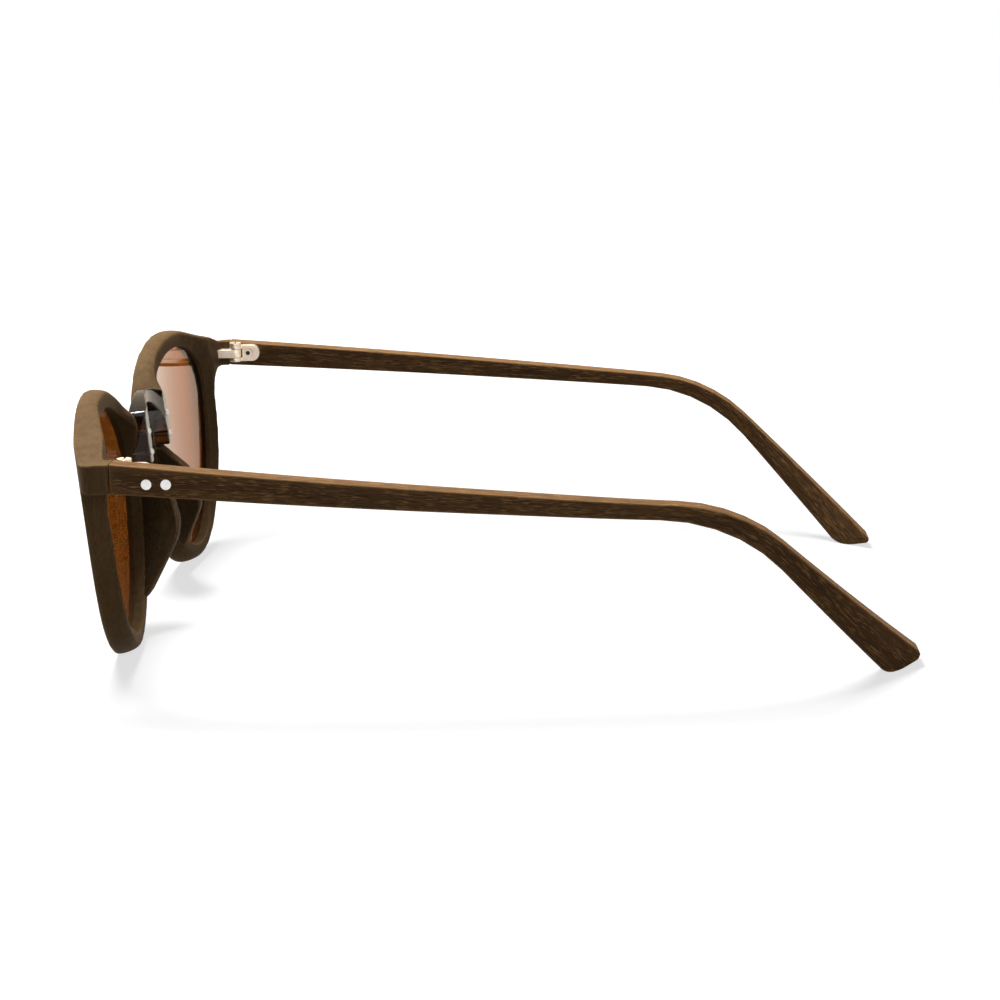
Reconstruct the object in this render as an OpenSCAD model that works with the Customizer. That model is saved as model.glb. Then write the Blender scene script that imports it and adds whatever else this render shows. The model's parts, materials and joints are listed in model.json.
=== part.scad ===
// Wooden sunglasses with a clear brown saddle bridge and folding temples.
// Millimetres, +Z up, standing on the rims and the temple tips.
// The lenses face -Y, the temples run towards +Y, and +X is the wearer's left.

/* [Lenses] */
// Width of the lens opening
lens_w = 47; // [42:0.5:52]
// Height of the lens opening
lens_h = 39.5; // [34:0.5:44]
// Distance between the two lens openings
nose_gap = 23; // [20:0.5:26]
// Thickness of a lens
lens_t = 1.6; // [1.4:0.1:2]

/* [Front] */
// Width of the wood around a lens
rim_wall = 3.5; // [3:0.1:4.5]
// Thickness of the front, from front to back
front_t = 4.6; // [4.2:0.1:6]
// Radius of the front's bow, seen from above
bow_r = 480; // [400:10:700]
// Lean of the front, with its top forward, in degrees
lean = 5.6; // [3:0.2:8]
// Distance that the temple joints lie behind the foot of the front
joint_back = 3.16; // [2.6:0.02:3.8]

/* [Temples] */
// Width across the outer faces of the temples at the joints
overall_w = 142; // [138:0.5:148]
// Thickness of a temple
temple_t = 4; // [3.4:0.1:4.6]
// Height of a temple at its joint
temple_h = 5; // [4.8:0.1:6]
// Length of a temple from the joint to the rear corner of its tip
temple_l = 134; // [128:0.5:140]
// Length of the tip behind the bend of a temple
tip_l = 32.5; // [28:0.5:36]
// Height of the temples' top edge above the surface at the joints
temple_z = 40.3; // [39:0.1:41.5]
// Outward bow of a temple
temple_bow = 1.3; // [0.6:0.1:2]
// Inward sweep of a temple's tip
tip_sweep = 21; // [14:0.5:24]

/* [Hinges] */
// Diameter of the hinge barrels
barrel_d = 2.4; // [2.2:0.1:2.8]
// Diameter of the hinge screw's shank
pin_d = 1.2; // [1:0.05:1.4]
// Length of the temple leaf behind the hinge axis
leaf_l = 5; // [4.6:0.1:6]
// Diameter of the rivets on the outside of a temple
rivet_d = 1.7; // [1.5:0.1:2.2]
// Distance between the two rivets of a temple
rivet_gap = 3.2; // [2.8:0.1:4]

/* [Hidden] */
$fn = 48;

// Fits: running clearance of the hinge, glue gap, and gap between a temple and its lug
run_gap = 0.03;
glue_gap = 0.03;
stop_gap = 0.1;
// Room that every cutting shape keeps past the wood that it cuts
reach = 30;
// Facets of the bow, of a lug's round and of a small dome, points of an outline, degrees of an arc's step
bow_fn = 720;
lug_fn = 180;
dome_fn = 96;
outline_n = 96;
plan_n = 48;
arc_step = 6;

// Lens opening: shares on either side of its widest point, and the powers of its curves
nasal_share = 0.52;
upper_share = 0.335;
open_nasal = nasal_share * lens_w;
open_temporal = lens_w - open_nasal;
open_upper = upper_share * lens_h;
open_lower = lens_h - open_upper;
corner_power = 2.35;
side_power = 1.92;
open_x = nose_gap / 2 + open_nasal;
open_z = rim_wall + open_lower;
rim_top = rim_wall + lens_h + rim_wall;

// Lens: radius of its own curve, and the depth of its sides from the rear face, with the groove for it
lens_r = 220;
lens_place = 0.565;
lens_side = lens_place * front_t;
lens_from = [open_x - open_nasal, bow(open_x - open_nasal) - lens_side];
lens_to = [open_x + open_temporal, bow(open_x + open_temporal) - lens_side];
lens_chord = lens_to - lens_from;
lens_rise = sqrt(lens_r * lens_r - lens_chord * lens_chord / 4);
lens_centre = (lens_from + lens_to) / 2 + lens_rise * [-lens_chord[1], lens_chord[0]] / norm(lens_chord);
groove_d = 0.9;
groove_w = lens_t + 2 * glue_gap;

// The front stands on its lower front edge
front_z = (front_t - bow(open_x)) * sin(lean);
front_y = -joint_back;

// Lug of the rim, in the plane of the front
side_x = overall_w / 2;
temple_in_x = side_x - temple_t;
joint_depth = (joint_back + (temple_z - temple_h / 2) * tan(lean)) * cos(lean);
lug_top = (temple_z - front_z - joint_depth * sin(lean)) / cos(lean);
lug_bottom = lug_top - temple_h;
cheek_x = 50;
cheek_round = 100;
lug_round = 4.5;
lug_fillet = 3;
lug_sink = 0.3;
lug_over = 1;
brow_angle = 61.5;
brow_flat = 3.5;
brow_fillet = 10;
rim_side_x = open_x + open_temporal + rim_wall;

// Hinge
barrel_clear = 0.3;
barrel_back = 0.5;
axis_x = temple_in_x - barrel_d / 2 - barrel_clear;
axis_y = barrel_d / 2 + barrel_back;
barrel_h = 0.8;
tongue_h = 1.7;
knuckle_gap = 0.05;
hinge_lift = 0.15;
hinge_h = 2 * barrel_h + tongue_h + 2 * knuckle_gap;
hinge_z = temple_z - temple_h / 2 - hinge_h / 2 + hinge_lift;
mid_z = hinge_z + barrel_h + knuckle_gap;
top_z = mid_z + tongue_h + knuckle_gap;
screw_head_h = 0.55;
screw_slot_w = 0.4;
tongue_l = 1.5;
leaf_t = 1.3;
leaf_seat = 0.6;
leaf_flat = 0.1;
leaf_round = (hinge_h - leaf_flat) / 2;
knuckle_web = 1.1;
leaf_end_y = axis_y + leaf_l;
leaf_in_x = temple_in_x - leaf_t;
leaf_out_x = temple_in_x + leaf_seat;
leaf_clear = 0.2;
leaf_start_y = axis_y + barrel_d / 2 + leaf_clear;
leaf_screw_in = 2.4;
leaf_screw_y = leaf_end_y - leaf_screw_in;
leaf_screw_z = hinge_z + hinge_h / 2;
leaf_screw_d = 1;
leaf_screw_head = 1.9;
leaf_screw_l = 3;
socket_d = 1;
socket_depth = 0.35;
rivet_back = 1.9;
rivet_y = leaf_screw_y + rivet_back;
rivet_depth = 1.6;
rivet_proud = 0.12;
rivet_down = 3.3;
rivet_z = temple_z - rivet_down;

// Bridge, in the plane of the front
bridge_down = 5.8;
bridge_h = 12.2;
bridge_top = rim_top - bridge_down;
bridge_foot = bridge_top - bridge_h;
bridge_rear = 2.6;
bridge_front = -0.6;
bridge_over = 0.1;
bridge_half_w = nose_gap / 2 + bridge_over;
bridge_leg = 2.8;
bridge_strap = 2.5;
bridge_drop = 2.7;
bridge_round = 1.4;
bridge_foot_round = 0.8;
bridge_n = 16;
saddle_r = 26;
saddle_depth = 1.2;
bridge_pin_d = 1;
bridge_pin_head = 1.4;
bridge_pin_dome = 0.5;
bridge_pin_low = 2.1;
bridge_pin_step = 3.85;
bridge_pin_z = [bridge_foot + bridge_pin_low, bridge_foot + bridge_pin_low + bridge_pin_step];
bridge_pin_x = bridge_half_w - bridge_leg / 2;
pin_wall = 0.3;
bridge_pin_depth = lens_side - groove_w / 2 - pin_wall;

// Nose pads, as distances behind the rear face of the front
pad_gap = 0.2;
pad_top = bridge_foot - pad_gap;
pad_top_depth = 0.9;
pad_top_round = 0.4;
pad_slope_z = 23.4;
pad_slope_depth = 5.3;
pad_slope_round = 3;
pad_bulge_z = 16.2;
pad_bulge = 6.9;
pad_bulge_round = 7;
pad_foot = 6.6;
pad_foot_depth = 1.1;
pad_foot_round = 0.8;
pad_share = 0.42;
pad_outer_x = open_x - pad_share * open_nasal;

// Side shape of a temple: slopes of its edges, and the place of its bend
top_fall = 0.0855;
bottom_fall = 0.0592;
bend_y = temple_l - tip_l;
bend_lead = 0.9;
low_bend_y = bend_y - bend_lead;
bend_top_z = temple_z - top_fall * bend_y;
bottom_z = temple_z - temple_h;
low_bend_z = bottom_z - bottom_fall * low_bend_y;
tip_rise = 1.5;
tip_slant = 4.6;
tip_flat = 2.6;
temple_top_r = 29;
temple_bottom_r = 29;
tip_front_r = 3.2;
tip_slant_r = 6;
tip_rear_r = 1;
joint_low_r = 0.6;
joint_top_r = 0.8;
temple_outline = rounded([
    [stop_gap, bottom_z, joint_low_r],
    [stop_gap, temple_z, joint_top_r],
    [bend_y, bend_top_z, temple_top_r],
    [temple_l, tip_rise, tip_rear_r],
    [temple_l - tip_slant, 0, tip_slant_r],
    [temple_l - tip_slant - tip_flat, 0, tip_front_r],
    [low_bend_y, low_bend_z, temple_bottom_r],
]);
temple_end = max([for (p = temple_outline) p[0]]);
sweep_y = 70;
sweep_power = 2.8;
bow_slope = temple_bow * PI / sweep_y;

// The part is centred along Y between the front's foremost point and the tips
foremost = min([for (p = lens_outline(rim_wall)) front_point_y(p[0], -front_t, p[1])]);
centre_y = (foremost + temple_end) / 2;

// Colours
wood = [0.30, 0.22, 0.15];
acetate = [0.45, 0.24, 0.10, 0.8];
lens_tint = [0.43, 0.22, 0.06, 0.6];
metal = [0.75, 0.75, 0.76];

// Depth of the bow at a distance from the middle
function bow(x) = bow_r - sqrt(bow_r * bow_r - x * x);

// Y of a point of the leaning front, given across, behind its rear face's crest, and up
function front_point_y(x, depth, up) = front_y + (depth + bow(x)) * cos(lean) - up * sin(lean);

// Signed power, for the lens outline
function spow(v, p) = sign(v) * pow(abs(v), p);

// Point of the lens opening's outline at an angle, moved outward by a distance
function lens_point(angle, out) =
    let (c = cos(angle), s = sin(angle))
    let (a = c >= 0 ? open_temporal : open_nasal, b = s >= 0 ? open_upper : open_lower)
    let (n = c >= 0 && s >= 0 ? corner_power : side_power)
    let (normal = [spow(c, 2 - 2 / n) / a, spow(s, 2 - 2 / n) / b])
    [open_x + a * spow(c, 2 / n), open_z + b * spow(s, 2 / n)] + out * normal / norm(normal);

function lens_outline(out) = [for (i = [0 : outline_n - 1]) lens_point(360 * i / outline_n, out)];

// Arc that rounds the corner b between a and c, from the side of a to the side of c
function corner_arc(a, b, c, r) =
    let (u = (a - b) / norm(a - b), v = (c - b) / norm(c - b))
    let (half = acos(u * v) / 2, w = (u + v) / norm(u + v))
    let (centre = b + w * r / sin(half))
    let (from = b + u * r / tan(half) - centre, to = b + v * r / tan(half) - centre)
    let (turn = sign(from[0] * to[1] - from[1] * to[0]) * (180 - 2 * half))
    let (steps = max(2, ceil(abs(turn) / arc_step)))
    [for (i = [0 : steps]) centre + turned(from, turn * i / steps)];

function turned(p, angle) = [p[0] * cos(angle) - p[1] * sin(angle), p[0] * sin(angle) + p[1] * cos(angle)];

// Outline through corners given as [x, y, radius]
function rounded(corners) =
    let (n = len(corners), p = [for (q = corners) [q[0], q[1]]])
    [for (i = [0 : n - 1])
        each corners[i][2] > 0
            ? corner_arc(p[(i + n - 1) % n], p[i], p[(i + 1) % n], corners[i][2])
            : [p[i]]];

// Arch of a half width, from right to left below its crown, as corners whose two ends are rounded
function arch(w, crown, drop, end_r) =
    let (r = (w * w + drop * drop) / (2 * drop), half = atan2(w, r - drop))
    [for (i = [0 : bridge_n]) let (a = half * (1 - 2 * i / bridge_n))
        [r * sin(a), crown - r + r * cos(a), i == 0 || i == bridge_n ? end_r : 0]];

// Middle line of a temple, seen from above, and its slope
function temple_x(y) =
    side_x - temple_t / 2 + (y < sweep_y
        ? temple_bow * sin(180 * y / sweep_y)
        : -bow_slope * (y - sweep_y) - tip_sweep * pow((y - sweep_y) / (temple_l - sweep_y), sweep_power));
function temple_slope(y) =
    y < sweep_y
        ? bow_slope * cos(180 * y / sweep_y)
        : -bow_slope - tip_sweep * sweep_power / (temple_l - sweep_y)
            * pow((y - sweep_y) / (temple_l - sweep_y), sweep_power - 1);

// Side of a temple, seen from above, at a distance from its middle line
function temple_side(y, out) = [temple_x(y), y] + out * [1, -temple_slope(y)] / norm([1, temple_slope(y)]);

// Puts a shape drawn in the plane of the front into the leaning front
module in_front() {
    translate([0, front_y, front_z]) rotate([lean, 0, 0]) children();
}

// Plate of a flat shape between two depths behind the rear face's crest
module plate(from, to) {
    translate([0, to, 0]) rotate([90, 0, 0]) linear_extrude(to - from) children();
}

// Everything behind a bowed surface that lies at a depth behind the rear face
module behind(depth) {
    translate([0, bow_r, -reach]) cylinder(r = bow_r - depth, h = rim_top + 2 * reach, $fn = bow_fn);
}

// Bowed layer between two depths
module layer(from, to) {
    difference() {
        behind(from);
        behind(to);
    }
}

// Layer of a thickness on the lens's own curve
module lens_layer(t) {
    translate([lens_centre[0], lens_centre[1], -reach]) difference() {
        cylinder(r = lens_r + t / 2, h = rim_top + 2 * reach, $fn = bow_fn);
        translate([0, 0, -reach]) cylinder(r = lens_r - t / 2, h = rim_top + 4 * reach, $fn = bow_fn);
    }
}

// Lug shape in the plane of the front, with a straight brow from the lug to the top of the rim
module lug_shape() {
    inner_x = open_x + open_temporal / 2;
    outer_x = rim_side_x - lug_sink;
    brow = lens_point(brow_angle, rim_wall);
    polygon(rounded([
        [inner_x, lug_bottom - 2 * lug_fillet, 0],
        [outer_x, lug_bottom - 2 * lug_fillet, 0],
        [outer_x, lug_bottom, lug_fillet],
        [side_x + lug_over, lug_bottom, 0],
        [side_x + lug_over, lug_top, 0],
        [side_x - brow_flat, lug_top, brow_fillet],
        [brow[0], brow[1], 0],
        [inner_x, lug_top, 0],
    ]));
}

// What is cut away to curve the front face into the cheek, and the cheek into the lug's side face
module lug_side() {
    front_r = bow_r + front_t;
    slope = asin(cheek_x / front_r);
    cheek_centre = [0, bow_r] + (front_r - cheek_round) * [sin(slope), -cos(slope)];
    corner_x = side_x - lug_round;
    corner_turn = asin((corner_x - cheek_centre[0]) / (cheek_round - lug_round));
    corner_centre = [corner_x, cheek_centre[1] - (cheek_round - lug_round) * cos(corner_turn)];
    corner_start = cheek_centre[0] + cheek_round * sin(corner_turn);
    round_off(cheek_x, cheek_centre, cheek_round, bow_fn);
    round_off(corner_start, corner_centre, lug_round, lug_fn);
    translate([side_x, -reach, -reach]) cube([reach, 2 * reach, rim_top + 2 * reach]);
}

// What lies outside of an upright cylinder, in front of its middle, from a given x on
module round_off(start_x, centre, r, facets) {
    difference() {
        translate([start_x, -reach, -reach]) cube([reach, reach + centre[1], rim_top + 2 * reach]);
        translate([centre[0], centre[1], -2 * reach]) cylinder(r = r, h = rim_top + 4 * reach, $fn = facets);
    }
}

// Bridge shape in the plane of the front, grown by a gap for its seat in the rims
module bridge_shape(gap) {
    w = bridge_half_w + gap;
    inner_w = bridge_half_w - bridge_leg - gap;
    strap_z = bridge_top - bridge_strap - gap;
    difference() {
        polygon(rounded(concat(
            [[-w, bridge_foot - gap, bridge_foot_round], [w, bridge_foot - gap, bridge_foot_round]],
            arch(w, bridge_top + gap, bridge_drop, bridge_round)
        )));
        polygon(rounded(concat(
            [[-inner_w, bridge_foot - reach, 0], [inner_w, bridge_foot - reach, 0]],
            arch(inner_w, strap_z, inner_w, 0)
        )));
    }
}

// Bridge pin along the depth of the front, or the bore for it
module bridge_pin(side, z, gap) {
    d = bridge_pin_d + 2 * gap;
    translate([side * bridge_pin_x, 0, z]) rotate([-90, 0, 0]) {
        translate([0, 0, -bridge_pin_depth - gap])
            cylinder(d = d, h = bridge_pin_depth + bridge_rear + gap);
        translate([0, 0, bridge_rear]) dome(bridge_pin_head, bridge_pin_dome);
    }
}

// Low domed head of a given diameter and height, standing on its flat face
module dome(d, h) {
    r = (d * d / 4 + h * h) / (2 * h);
    rotate_extrude() intersection() {
        translate([0, h - r]) circle(r, $fn = dome_fn);
        square([d / 2, h]);
    }
}

// Rim of the left lens with its lug, before it is mirrored for the right one
module rim() {
    color(wood) difference() {
        union() {
            in_front() difference() {
                intersection() {
                    plate(-reach, reach) union() {
                        polygon(lens_outline(rim_wall));
                        lug_shape();
                    }
                    layer(-front_t, 0);
                }
                lug_side();
            }
            intersection() {
                in_front() difference() {
                    intersection() {
                        plate(-reach, reach) lug_shape();
                        behind(-front_t / 2);
                    }
                    lug_side();
                }
                translate([temple_in_x, -reach, 0]) cube([reach, reach, rim_top]);
            }
        }
        in_front() {
            plate(-reach, reach) polygon(lens_outline(0));
            intersection() {
                plate(-reach, reach) polygon(lens_outline(groove_d));
                lens_layer(groove_w);
            }
            plate(bridge_front - glue_gap, reach) bridge_shape(glue_gap);
            for (z = bridge_pin_z) bridge_pin(1, z, run_gap);
        }
        hinge_tongue(glue_gap);
    }
}

// Lens held in the groove of the rim
module lens() {
    color(lens_tint) in_front() intersection() {
        plate(-reach, reach) polygon(lens_outline(groove_d - glue_gap));
        lens_layer(lens_t);
    }
}

// Saddle bridge, hollowed towards the nose and seated in the rear of both rims
module bridge() {
    color(acetate) in_front() difference() {
        plate(bridge_front, bridge_rear) bridge_shape(0);
        translate([0, saddle_depth + saddle_r, 0]) cylinder(r = saddle_r, h = rim_top, $fn = bow_fn);
        for (side = [-1, 1], z = bridge_pin_z) bridge_pin(side, z, run_gap);
    }
}

// Four pins that hold the bridge to the rims
module bridge_pins() {
    color(metal) in_front() for (side = [-1, 1], z = bridge_pin_z) bridge_pin(side, z, 0);
}

// Nose pad glued behind the inner side of the rim
module nose_pad() {
    color(wood) in_front() intersection() {
        plate(-reach, reach) difference() {
            polygon(lens_outline(rim_wall));
            polygon(lens_outline(0));
            translate([pad_outer_x, 0]) square([reach + lens_w, rim_top]);
        }
        behind(glue_gap);
        rotate([90, 0, 90]) linear_extrude(open_x) polygon(rounded([
            [-reach, pad_foot, 0],
            [pad_foot_depth, pad_foot, pad_foot_round],
            [pad_bulge, pad_bulge_z, pad_bulge_round],
            [pad_slope_depth, pad_slope_z, pad_slope_round],
            [pad_top_depth, pad_top, pad_top_round],
            [-reach, pad_top, 0],
        ]));
    }
}

// Bar of the front leaf and its tongue in the lug
module hinge_tongue(gap) {
    root_y = front_point_y(axis_x, 0, lug_top) - tongue_l - gap;
    translate([axis_x - barrel_d / 2 - gap, root_y, mid_z - gap])
        cube([barrel_d + 2 * gap, axis_y - root_y, tongue_h + 2 * gap]);
}

// Front leaf: the middle knuckle and its bar
module front_hinge_leaf() {
    color(metal) difference() {
        union() {
            hinge_tongue(0);
            translate([axis_x, axis_y, mid_z]) cylinder(d = barrel_d, h = tongue_h);
        }
        translate([axis_x, axis_y, 0]) cylinder(d = pin_d + 2 * run_gap, h = temple_z + reach);
    }
}

// Plate of the temple leaf with its rounded rear end, or the seat for it
module leaf_plate(gap) {
    start_y = leaf_start_y - gap;
    end_y = leaf_end_y + gap;
    low = hinge_z - gap;
    high = hinge_z + hinge_h + gap;
    translate([leaf_in_x - gap, 0, 0]) rotate([90, 0, 90]) linear_extrude(leaf_out_x - leaf_in_x + 2 * gap)
        polygon(rounded([
            [start_y, low, 0],
            [end_y, low, leaf_round + gap],
            [end_y, high, leaf_round + gap],
            [start_y, high, 0],
        ]));
}

// Temple leaf: the outer two knuckles, joined to the plate that lies in the temple
module temple_hinge_leaf() {
    color(metal) difference() {
        union() {
            leaf_plate(0);
            for (z = [hinge_z, top_z]) {
                translate([axis_x, axis_y, z]) cylinder(d = barrel_d, h = barrel_h);
                translate([leaf_in_x, axis_y, z])
                    cube([knuckle_web, leaf_start_y - axis_y + knuckle_web, barrel_h]);
            }
        }
        translate([axis_x, axis_y, 0]) cylinder(d = pin_d + 2 * run_gap, h = temple_z + reach);
        leaf_screw_body(run_gap);
    }
}

// Hinge screw with a slotted head on the upper knuckle
module hinge_screw() {
    head_z = hinge_z + hinge_h;
    color(metal) translate([axis_x, axis_y, 0]) difference() {
        union() {
            translate([0, 0, hinge_z]) cylinder(d = pin_d, h = hinge_h);
            translate([0, 0, head_z]) cylinder(d = barrel_d, h = screw_head_h);
        }
        translate([-barrel_d, -screw_slot_w / 2, head_z + screw_head_h / 2])
            cube([2 * barrel_d, screw_slot_w, screw_head_h]);
    }
}

// Countersunk screw through the temple leaf, or the bore for it
module leaf_screw_body(gap) {
    head = leaf_screw_head / 2 + gap;
    shank = leaf_screw_d / 2 + gap;
    translate([leaf_in_x, leaf_screw_y, leaf_screw_z]) rotate([0, 90, 0]) {
        cylinder(r = shank, h = leaf_screw_l + gap);
        rotate_extrude() polygon([[0, 0], [head, 0], [shank, head - shank], [0, head - shank]]);
    }
}

// Countersunk screw with a six sided socket
module leaf_screw() {
    color(metal) difference() {
        leaf_screw_body(0);
        translate([leaf_in_x - socket_depth, leaf_screw_y, leaf_screw_z]) rotate([0, 90, 0])
            cylinder(d = socket_d, h = 2 * socket_depth, $fn = 6);
    }
}

// Two rivets in the outer side of the temple, or the bores for them
module rivet_bodies(gap) {
    for (i = [0, 1]) {
        y = rivet_y + i * rivet_gap;
        face_x = temple_side(y, temple_t / 2)[0];
        translate([face_x - rivet_depth - gap, y, rivet_z]) rotate([0, 90, 0])
            cylinder(d = rivet_d + 2 * gap, h = rivet_depth + rivet_proud + gap);
    }
}

// Rivets of one temple
module temple_rivets() {
    color(metal) rivet_bodies(0);
}

// Temple seen from above
module temple_plan() {
    ys = [for (i = [0 : plan_n]) temple_l * i / plan_n];
    polygon(concat(
        [for (y = ys) temple_side(y, temple_t / 2)],
        [for (i = [plan_n : -1 : 0]) temple_side(ys[i], -temple_t / 2)]
    ));
}

// Temple with its seats for the leaf, the screw and the rivets
module temple() {
    color(wood) difference() {
        intersection() {
            rotate([90, 0, 90]) linear_extrude(overall_w) polygon(temple_outline);
            linear_extrude(temple_z + reach) temple_plan();
        }
        leaf_plate(glue_gap);
        leaf_screw_body(run_gap);
        rivet_bodies(run_gap);
    }
}

// Places a left piece, or its mirror image for the right side
module placed(side) {
    translate([0, -centre_y, 0]) mirror([side == "right" ? 1 : 0, 0, 0]) children();
}

placed("left") rim();  // rim_left
placed("right") rim();  // rim_right
placed("left") lens();  // lens_left
placed("right") lens();  // lens_right
placed("left") bridge();
placed("left") bridge_pins();
placed("left") nose_pad();  // nose_pad_left
placed("right") nose_pad();  // nose_pad_right
placed("left") front_hinge_leaf();  // front_hinge_leaf_left
placed("right") front_hinge_leaf();  // front_hinge_leaf_right
placed("left") temple();  // temple_left
placed("right") temple();  // temple_right
placed("left") temple_hinge_leaf();  // temple_hinge_leaf_left
placed("right") temple_hinge_leaf();  // temple_hinge_leaf_right
placed("left") hinge_screw();  // hinge_screw_left
placed("right") hinge_screw();  // hinge_screw_right
placed("left") leaf_screw();  // leaf_screw_left
placed("right") leaf_screw();  // leaf_screw_right
placed("left") temple_rivets();  // temple_rivets_left
placed("right") temple_rivets();  // temple_rivets_right
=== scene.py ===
import json
import math

import bpy
import numpy as np
from mathutils import Matrix, Vector

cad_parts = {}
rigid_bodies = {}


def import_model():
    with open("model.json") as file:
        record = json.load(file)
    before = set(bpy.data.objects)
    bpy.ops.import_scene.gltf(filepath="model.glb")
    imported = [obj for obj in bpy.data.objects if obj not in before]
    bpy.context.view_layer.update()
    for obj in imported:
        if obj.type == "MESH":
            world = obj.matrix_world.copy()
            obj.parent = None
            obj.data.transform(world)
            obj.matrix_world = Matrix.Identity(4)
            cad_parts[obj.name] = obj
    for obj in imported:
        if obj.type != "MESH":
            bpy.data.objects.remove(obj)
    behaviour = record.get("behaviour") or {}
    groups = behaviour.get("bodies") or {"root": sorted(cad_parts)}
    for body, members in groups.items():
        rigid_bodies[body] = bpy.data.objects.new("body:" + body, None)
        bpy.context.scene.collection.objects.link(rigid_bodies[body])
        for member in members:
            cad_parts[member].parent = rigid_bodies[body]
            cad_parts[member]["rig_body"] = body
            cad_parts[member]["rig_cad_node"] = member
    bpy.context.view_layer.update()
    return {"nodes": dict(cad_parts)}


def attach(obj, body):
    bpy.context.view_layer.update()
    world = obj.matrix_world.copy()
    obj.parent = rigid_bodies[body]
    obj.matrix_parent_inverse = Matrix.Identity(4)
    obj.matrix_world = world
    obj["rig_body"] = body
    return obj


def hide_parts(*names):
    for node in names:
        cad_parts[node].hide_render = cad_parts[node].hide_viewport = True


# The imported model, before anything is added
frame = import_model()

# Lengths below are in millimetres, and MM turns them into metres
MM = 0.001
SIDES = {"left": 1, "right": -1}

# Where the joint plane of the temples lies in the CAD frame
JOINT_Y = -60.7576

# The front: lean and bow of the plate, the lens, the ring that fills its groove, and the lens opening
LEAN = math.radians(5.6)
BOW_RADIUS = 480
FRONT_Y = -3.16
FRONT_Z = 0.3174
FRONT_THICK = 4.6
LENS_RADIUS = 220
LENS_LEVEL = 12
LENS_SIDE = 0.565 * FRONT_THICK
LENS_THICK = 1.6
LENS_EDGE = 0.8
RING_THICK = 1.5
RING_HALF = 1.2
OPENING_X = 35.94
OPENING_UP = 29.7675
OPENING_NASAL = 24.44
OPENING_TEMPORAL = 22.56
OPENING_UPPER = 13.2325
OPENING_LOWER = 26.2675
CORNER_POWER = 2.35
SIDE_POWER = 1.92

# The rim's wall, how far its outside is drawn in at the rear, and where that fades at the brow's end
RIM_WALL = 3.5
TAPER = 1.1
TAPER_DEPTH = 4
BROW_END_X = (42, 58)
BROW_END_UP = (27, 34)

# The rims rise behind the bridge: how far, at these heights up the front, and where that starts and ends
NOSE_UP = (31, 33.5, 36, 38.6, 41)
NOSE_RISE = (0, 0.6, 1.2, 1.0, 0)
NOSE_X = (15, 20)
NOSE_DEPTH = (-2, 0)

# Along the brow the rear face lies forward in the middle and back at the lug: how far, at these distances
BROW_X = (14, 22, 44, 51, 57)
BROW_BACK = (0, -0.9, -0.9, 0, 0.8)
BROW_UP = (30, 37)
BROW_DEPTH = (-2.5, 0)
BROW_PROUD = (0.2, 1)

# How far the rear edge of the lens opening is eased at the temple end, and where that starts and ends
EDGE_EASE = 1.2
EDGE_X = (44, 52)
EDGE_WALL = (0, 0.7)
EDGE_DEPTH = (-1.8, 0)

# The lug that carries the hinge: where it lies and starts, its spare length for sanding, and its end face
LUG_X = 60
LUG_Z = 34
LUG_START_X = (55, 60)
LUG_START_UP = (29, 34)
LUG_SPARE = 3
JOINT_GAP = 0.02

# Sanding: the size of the skin's faces, the passes, and how soft the rim's wall is, from the opening out
RIM_GRIT = 0.25
RIM_PASSES = 90
RIM_SOFT_WALL = (0.15, 0.65)
RIM_SOFTNESS = (0.12, 1)
LUG_KEPT = 0.95
PAD_GRIT = 0.2
PAD_PASSES = 20
BRIDGE_GRIT = 0.1
BRIDGE_PASSES = 26

# How far a nose pad reaches into its rim
PAD_SUNK = 0.6

# A temple's side outline as corners (y, z, radius), from the lower corner at the joint
TEMPLE_CORNERS = [
    (0.1, 35.3, 0),
    (0.1, 40.3, 0),
    (101.5, 31.6218, 29),
    (134, 1.5, 1),
    (129.4, 0, 6),
    (126.8, 0, 3.2),
    (100.6, 29.3445, 29),
]
TEMPLE_MIDDLE = [(0, 37.8, 0), (101.05, 30.48, 29), (130.4, 0.5, 0)]

# The face of the screws in the temple's hinge leaf, from the middle plane
SCREW_FACE_X = 65.7

# A temple seen from above
TEMPLE_X = 69
TEMPLE_THICK = 4
TEMPLE_BOW = 1.3
BOW_END = 70
SWEEP = 21
SWEEP_LENGTH = 64
SWEEP_POWER = 2.8
SWEEP_SLOPE = -0.05834

# A temple's mesh: the strips along its sides, the inset in them, its rounded edge, and the cuts across it
SIDE_STRIP = 0.9
SIDE_INSET = 1.1
TEMPLE_EDGE = 0.35
TEMPLE_END = 134
CUT_STEP = 2

# A temple's grain: the steps along its middle line, and the shift that makes the two temples differ
STATION_STEP = 0.5
GRAIN_SHIFT = 40

# The wear on a temple's top and underside, and how far faces turn to the side while it fades
TOP_WEAR = 0.25
TURNED_ASIDE = (0.3, 0.9)

# A lens's mesh: the points round its outline, its rings as shares of its reach, and its rounded edge
OUTLINE_POINTS = 144
LENS_RINGS = 11
LENS_RING_SHARE = 0.08
LENS_ROUND = 0.15

# Corners closer than this are merged, and a face that points this much along an axis faces that way
MERGE_GAP = 0.002
FACING = 0.9


def srgb(red, green, blue):
    """A colour written as on a screen, from 0 to 255, in the numbers that shaders use."""
    def linear(value):
        value = value / 255
        return value / 12.92 if value <= 0.04045 else ((value + 0.055) / 1.055) ** 2.4

    return (linear(red), linear(green), linear(blue), 1)


# Tools for working on a piece

def pick(piece):
    """Selects one piece alone and makes it active."""
    for other in bpy.context.view_layer.objects:
        other.select_set(False)
    piece.select_set(True)
    bpy.context.view_layer.objects.active = piece


def new_piece(name):
    """Names the primitive that was just added."""
    piece = bpy.context.active_object
    piece.name = name
    piece.data.name = name
    pick(piece)
    return piece


def edit(piece):
    """Opens a piece in edit mode with everything selected, by faces."""
    pick(piece)
    bpy.ops.object.mode_set(mode="EDIT")
    bpy.ops.mesh.select_mode(type="FACE")
    bpy.ops.mesh.select_all(action="SELECT")


def leave():
    """Goes back to object mode."""
    bpy.ops.object.mode_set(mode="OBJECT")


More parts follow.
